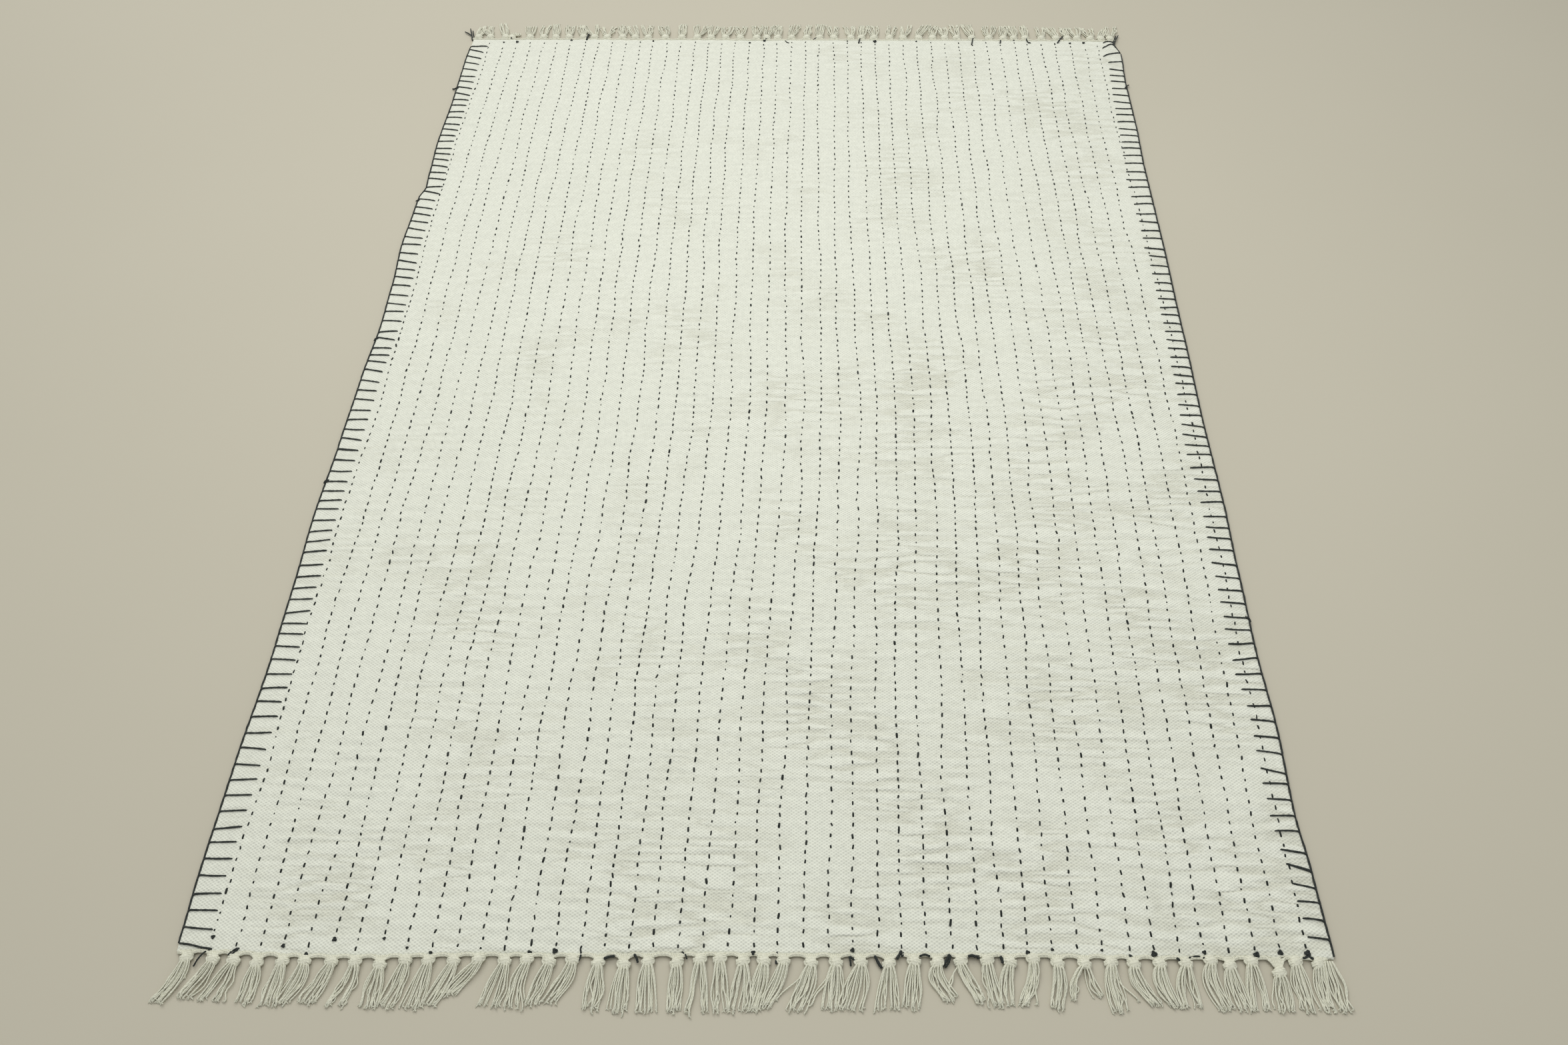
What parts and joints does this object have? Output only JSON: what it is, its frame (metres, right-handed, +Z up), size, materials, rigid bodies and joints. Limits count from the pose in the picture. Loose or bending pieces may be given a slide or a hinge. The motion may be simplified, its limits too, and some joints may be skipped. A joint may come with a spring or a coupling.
{
  "type": "dhurrie rug",
  "caption": "Flat-woven ivory cotton rug with dark running-stitch rows, blanket-stitched long edges and knotted fringe at both ends",
  "frame": {"origin": "On the floor under the middle of the rug's cloth", "axes": "+Z up from the floor, +Y along the rug's length towards its far fringe, +X along its width to the right"},
  "size_m": [1.4296, 2.1432, 0.0096],
  "materials": {
    "cotton_cloth": "flat-woven undyed ivory cotton, matt",
    "cotton_yarn": "loose plied undyed cotton yarn, matt",
    "dark_thread": "thick charcoal cotton sewing thread, matt"
  },
  "bodies": {
    "root": {"cloth": "cotton_cloth", "fringe_near": "cotton_yarn", "fringe_far": "cotton_yarn"}
  },
  "joints": []
}
